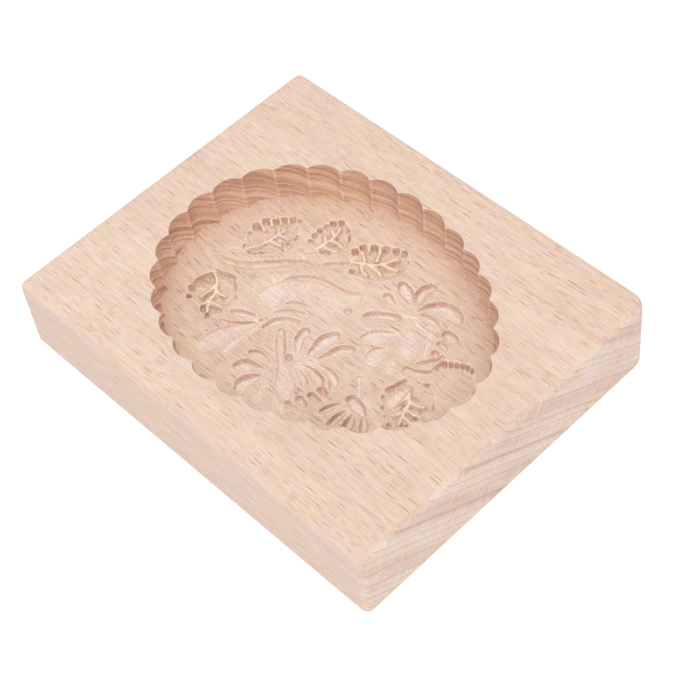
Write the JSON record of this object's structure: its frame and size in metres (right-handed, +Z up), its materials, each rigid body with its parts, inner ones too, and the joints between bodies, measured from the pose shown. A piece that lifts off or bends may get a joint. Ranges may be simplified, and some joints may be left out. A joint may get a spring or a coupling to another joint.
{
  "type": "wooden cookie mould",
  "caption": "Rectangular beech block with a scalloped oval recess, in whose floor a bird, a leafy branch and flowers are carved to shape a biscuit.",
  "frame": {"origin": "middle of the flat underside", "axes": "+X along the grain and the long side, +Y across the grain, +Z up, out of the carved face; the bird's head points to +X and its crest to +Y"},
  "size_m": [0.12, 0.097, 0.023],
  "materials": {
    "beech": "bare sanded beech, unfinished"
  },
  "bodies": {
    "root": {"mould_block": "beech"}
  },
  "joints": []
}
